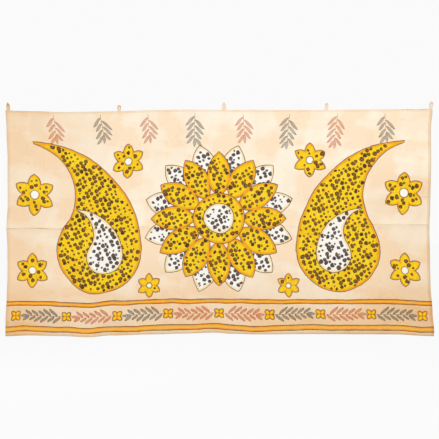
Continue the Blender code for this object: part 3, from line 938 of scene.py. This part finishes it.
# The loops: five narrow tapes, each folded double from the same cotton, bent over and stitched by
# both tails behind the top hem. Each leans and twists its own way, and handling has soiled them.
CLOTH_THICKNESS = 0.0015
TAPE_THICKNESS = 0.0016
TAPE_SIDES = 16
TAIL_LENGTH = 0.022
SEWN_GAP = 0.0003
LOOP_ROOT_RISE = 0.002
LOOP_CLEAR_RISE = 0.012
TAIL_STEPS = 4
LEG_STEPS = 9
ARCH_STEPS = 24
Loop = namedtuple("Loop", "node x rise width neck tape lean twist tip soil")
LOOPS = (
    Loop(
        "loop_left_corner", x=-1.053, rise=0.040, width=0.020, neck=0.020, tape=0.0096,
        lean=-0.004, twist=-24, tip=1.45, soil=1.0,
    ),
    Loop(
        "loop_left", x=-0.4985, rise=0.031, width=0.020, neck=0.016, tape=0.0077,
        lean=0.000, twist=6, tip=1.0, soil=0.7,
    ),
    Loop(
        "loop_middle", x=0.0255, rise=0.038, width=0.020, neck=0.019, tape=0.0092,
        lean=0.000, twist=16, tip=1.4, soil=0.45,
    ),
    Loop(
        "loop_right", x=0.5365, rise=0.036, width=0.020, neck=0.019, tape=0.0092,
        lean=0.005, twist=-14, tip=1.2, soil=0.35,
    ),
    Loop(
        "loop_right_corner", x=1.059, rise=0.036, width=0.020, neck=0.018, tape=0.0084,
        lean=0.005, twist=10, tip=1.1, soil=0.6,
    ),
)


def loop_stations(loop):
    """Return the right half of a loop, from its tail to its tip.

    A station is the tape's inner and outer edge, each a distance from the loop's middle line
    and a height over the cloth's edge.
    """
    half_width = loop.width / 2
    half_neck = loop.neck / 2
    arch_height = loop.width * (loop.tip - 0.5)
    arch_base = loop.rise - arch_height
    leg_heights = [TAIL_LENGTH * (step / TAIL_STEPS - 1.0) for step in range(TAIL_STEPS)]
    leg_heights += [arch_base * step / LEG_STEPS for step in range(LEG_STEPS)]
    stations = []
    for height in leg_heights:
        outer = half_neck + (half_width - half_neck) * ease(height / arch_base)
        stations.append(((outer - loop.tape, height), (outer, height)))
    for step in range(ARCH_STEPS + 1):
        angle = math.pi / 2 * step / ARCH_STEPS
        across = max(math.cos(angle), 0.0) ** loop.tip
        upwards = math.sin(angle) ** loop.tip
        inner = ((half_width - loop.tape) * across, arch_base + (arch_height - loop.tape) * upwards)
        outer = (half_width * across, arch_base + arch_height * upwards)
        stations.append((inner, outer))
    return stations


def tape_place(loop, across, height, through):
    """Return where a point of a loop lies, with the loop's lean and twist."""
    share = max(height, 0.0) / loop.rise
    turn = math.radians(loop.twist) * ease(share)
    behind = CLOTH_THICKNESS / 2 + SEWN_GAP + TAPE_THICKNESS / 2
    forward = ease((height - LOOP_ROOT_RISE) / (LOOP_CLEAR_RISE - LOOP_ROOT_RISE))
    x = loop.x + loop.lean * share * share + across * math.cos(turn) - through * math.sin(turn)
    y = behind * (1.0 - forward) + across * math.sin(turn) + through * math.cos(turn)
    z = edge_offset(TOP_EDGE, loop.x) + height
    return Vector((x, y, z))


def tape_section(step):
    """Return a point of the tape's rounded section, with the groove where its edges meet."""
    angle = 2.0 * math.pi * step / TAPE_SIDES
    edgewise = math.copysign(abs(math.cos(angle)) ** 0.7, math.cos(angle))
    through = math.copysign(abs(math.sin(angle)) ** 0.7, math.sin(angle))
    return edgewise, through * (1.0 - 0.4 * math.exp(-((edgewise / 0.2) ** 2)))


def make_loop_tape():
    """Return the loops' cotton: the cloth's own weave, soiled towards the tip by handling."""
    material = bpy.data.materials.new("loop_cotton")
    material.use_nodes = True
    shader = material.node_tree.nodes["Principled BSDF"]
    tape = Recipe(material.node_tree)
    x, y, z = tape.split(tape.step("TexCoord", {}, "Object"))
    place = tape.join(tape.math("ADD", x, y), z)
    weave = tape.use(plain_weave, Place=place, Thread=0.0007)
    soil = tape.step("Attribute", {}, "Fac", attribute_name="soil")
    patches = tape.math("MULTIPLY_ADD", tape.noise(place, 160.0, 2.0), 0.8, 0.6)
    soil = tape.math("MULTIPLY", soil, patches)
    colour = tape.mix(soil, CREAM_COTTON, TAPE_TAN)
    shade = tape.math("MULTIPLY", tape.band(weave["Slub"], 0.6, 0.35), 0.25)
    colour = tape.mix(shade, colour, SOIL_AND_SHADE_TINT, "MULTIPLY")
    material.node_tree.links.new(colour, shader.inputs["Base Color"])
    height = tape.math("MULTIPLY_ADD", weave["Slub"], 0.6, tape.math("MULTIPLY", weave["Crossing"], 0.5))
    bump = tape.step("Bump", {"Height": height, "Strength": 0.5, "Distance": 0.0004})
    material.node_tree.links.new(bump, shader.inputs["Normal"])
    shader.inputs["Roughness"].default_value = 0.92
    shader.inputs["Specular IOR Level"].default_value = 0.25
    return material


TAPE_TAN = dye(214, 166, 110)
loop_cotton = make_loop_tape()
for loop in LOOPS:
    right_half = loop_stations(loop)
    stations = [(-1, station) for station in right_half]
    stations += [(1, station) for station in reversed(right_half[:-1])]
    tape_shape = bmesh.new()
    bmesh.ops.create_grid(tape_shape, x_segments=len(stations) - 1, y_segments=TAPE_SIDES, size=0.5)
    soil_layer = tape_shape.verts.layers.float.new("soil")
    for vert in tape_shape.verts:
        side, (inner, outer) = stations[round((vert.co.x + 0.5) * (len(stations) - 1))]
        edgewise, through = tape_section(round((vert.co.y + 0.5) * TAPE_SIDES) % TAPE_SIDES)
        outwards = (1.0 + edgewise) / 2
        across = inner[0] + (outer[0] - inner[0]) * outwards
        height = inner[1] + (outer[1] - inner[1]) * outwards
        vert.co = tape_place(loop, side * across, height, through * TAPE_THICKNESS / 2)
        vert.co += noise.noise_vector(vert.co * 260.0) * 0.0002
        vert[soil_layer] = loop.soil * (0.5 + 0.6 * ease(height / loop.rise))
    bmesh.ops.remove_doubles(tape_shape, verts=tape_shape.verts[:], dist=0.00001)
    bmesh.ops.holes_fill(tape_shape, edges=tape_shape.edges[:], sides=TAPE_SIDES)
    bmesh.ops.recalc_face_normals(tape_shape, faces=tape_shape.faces[:])
    tape_mesh = bpy.data.meshes.new(loop.node + "_tape")
    tape_shape.to_mesh(tape_mesh)
    tape_shape.free()
    tape_mesh.shade_smooth()
    tape_mesh.materials.append(loop_cotton)
    tape_object = bpy.data.objects.new(loop.node + "_tape", tape_mesh)
    bpy.context.scene.collection.objects.link(tape_object)
    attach(tape_object, "root")
    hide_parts(loop.node)

# The sewing: a row of machine stitches just inside the turned edge of every hem, seen on both
# faces of the cloth, and two close rows of the same stitches through each tail of every loop.
STITCH_PITCH = 0.0036
STITCH_LENGTH = 0.0030
THREAD_THICKNESS = 0.0005
SEAM_INSET = 0.002
TAIL_SEAM_TOP = 0.003
TAIL_SEAM_FOOT = 0.018
TAIL_SEAM_HALF_WIDTH = 0.0016


def add_stitches(bm, start, end):
    """Add a row of stitches between two places: one rounded grain of thread, and its array."""
    run = Vector(end) - Vector(start)
    count = max(round(run.length / STITCH_PITCH), 1)
    place = Matrix.Translation(Vector(start) + run * (0.5 / count))
    turn = run.to_track_quat("X", "Y").to_matrix().to_4x4()
    size = Matrix.Diagonal((STITCH_LENGTH / 2, THREAD_THICKNESS / 2, THREAD_THICKNESS / 2, 1.0))
    grain_shape = bmesh.new()
    bmesh.ops.create_icosphere(grain_shape, subdivisions=1, radius=1.0, matrix=place @ turn @ size)
    grain_mesh = bpy.data.meshes.new("stitch")
    grain_shape.to_mesh(grain_mesh)
    grain_shape.free()
    row = bpy.data.objects.new("stitch_row", grain_mesh)
    bpy.context.scene.collection.objects.link(row)
    repeat = row.modifiers.new("repeat", "ARRAY")
    repeat.count = count
    repeat.use_relative_offset = False
    repeat.use_constant_offset = True
    repeat.constant_offset_displace = run / count
    row_mesh = bpy.data.meshes.new_from_object(row.evaluated_get(bpy.context.evaluated_depsgraph_get()))
    bm.from_mesh(row_mesh)
    bpy.data.objects.remove(row)
    bpy.data.meshes.remove(grain_mesh)
    bpy.data.meshes.remove(row_mesh)


sewing_shape = bmesh.new()
seam_x = CLOTH_WIDTH / 2 - SIDE_HEM + SEAM_INSET
seam_top = -TOP_HEM + SEAM_INSET
seam_foot = -CLOTH_DROP + BOTTOM_HEM - SEAM_INSET
for depth in (-FRONT_OFFSET, BACK_OFFSET + HEM_EXTRA):
    corners = [(-seam_x, seam_top), (seam_x, seam_top), (seam_x, seam_foot), (-seam_x, seam_foot)]
    for corner, next_corner in zip(corners, corners[1:] + corners[:1]):
        start = (corner[0], depth, corner[1])
        end = (next_corner[0], depth, next_corner[1])
        add_stitches(sewing_shape, start, end)
tail_lines = [
    loop.x + side * (loop.neck - loop.tape) / 2 + step * TAIL_SEAM_HALF_WIDTH
    for loop in LOOPS for side in (-1, 1) for step in (-1, 1)
]
for x in tail_lines:
    side = LEFT_EDGE if x < 0 else RIGHT_EDGE
    flat_x = x / (1.0 + edge_offset(side, TAIL_SEAM_FOOT) / (CLOTH_WIDTH / 2))
    start = (flat_x, -FRONT_OFFSET, -TAIL_SEAM_TOP)
    end = (flat_x, -FRONT_OFFSET, -TAIL_SEAM_FOOT)
    add_stitches(sewing_shape, start, end)
hang(sewing_shape)
tape_back = CLOTH_THICKNESS / 2 + SEWN_GAP + TAPE_THICKNESS
for x in tail_lines:
    hem_top = edge_offset(TOP_EDGE, x)
    start = (x, tape_back, hem_top - TAIL_SEAM_TOP)
    end = (x, tape_back, hem_top - TAIL_SEAM_FOOT)
    add_stitches(sewing_shape, start, end)
sewing_mesh = bpy.data.meshes.new("hem_stitches")
sewing_shape.to_mesh(sewing_mesh)
sewing_shape.free()
sewing_mesh.shade_smooth()
thread = bpy.data.materials.new("cotton_thread")
thread.use_nodes = True
thread_shader = thread.node_tree.nodes["Principled BSDF"]
strand = Recipe(thread.node_tree)
strand_place = strand.step("TexCoord", {}, "Object")
worn = strand.band(strand.noise(strand_place, 6.0, 2.0), 0.35, 0.65)
strand_colour = strand.mix(worn, dye(240, 216, 180), dye(214, 180, 136))
thread.node_tree.links.new(strand_colour, thread_shader.inputs["Base Color"])
twist = strand.noise(strand_place, 3000.0, 1.0)
strand_bump = strand.step("Bump", {"Height": twist, "Strength": 0.5, "Distance": 0.0002})
thread.node_tree.links.new(strand_bump, thread_shader.inputs["Normal"])
thread_shader.inputs["Roughness"].default_value = 0.8
sewing_mesh.materials.append(thread)
sewing = bpy.data.objects.new("hem_stitches", sewing_mesh)
bpy.context.scene.collection.objects.link(sewing)
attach(sewing, "root")
